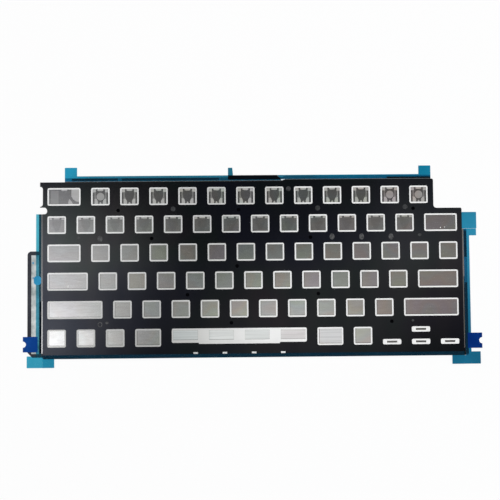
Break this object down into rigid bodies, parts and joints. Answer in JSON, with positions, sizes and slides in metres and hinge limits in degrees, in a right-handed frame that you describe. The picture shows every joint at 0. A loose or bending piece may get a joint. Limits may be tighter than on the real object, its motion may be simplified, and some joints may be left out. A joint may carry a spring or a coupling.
{
  "type": "laptop keyboard backlight",
  "caption": "Thin laminated keyboard backlight: black mask with key windows over a light guide, LED flex on one edge, taped borders, blue release liners and pull tabs.",
  "frame": {"origin": "on the underside of the back film, under the middle of the key grid", "axes": "+X along the key rows to the right, +Y towards the function row, +Z out of the key side"},
  "size_m": [0.2995, 0.1306, 0.0008],
  "materials": {
    "black_film": "satin black film",
    "white_film": "matt white film",
    "clear_guide": "clear plate with fine light-spreading texture, silver over its reflector",
    "reflector": "pearly white film",
    "flex": "black coverlay",
    "led": "white package, yellow lens",
    "cover_strip": "white tape",
    "black_tape": "black tape",
    "liner": "translucent blue film",
    "pull_tab": "dark blue film"
  },
  "bodies": {
    "root": {"mask_film": "black_film", "back_film": "black_film", "window_frame_film": "white_film", "light_guide": "clear_guide", "reflector_film": "reflector", "led_flex": "flex", "side_leds": "led", "flex_cover_strip": "cover_strip", "left_edge_tape": "black_tape", "top_left_tape_short": "black_tape", "top_left_tape_long": "black_tape", "top_centre_tape": "black_tape", "top_right_tape": "black_tape", "right_upper_tape": "black_tape", "right_lower_tape": "black_tape", "bottom_edge_tape": "black_tape", "rear_pad_tape": "black_tape", "left_liner": "liner", "top_left_liner": "liner", "top_right_liner": "liner", "right_liner": "liner", "bottom_liner": "liner", "rear_pad_liner": "liner", "left_hold_patch": "liner", "left_pull_tab": "pull_tab", "right_pull_tab": "pull_tab"}
  },
  "joints": []
}
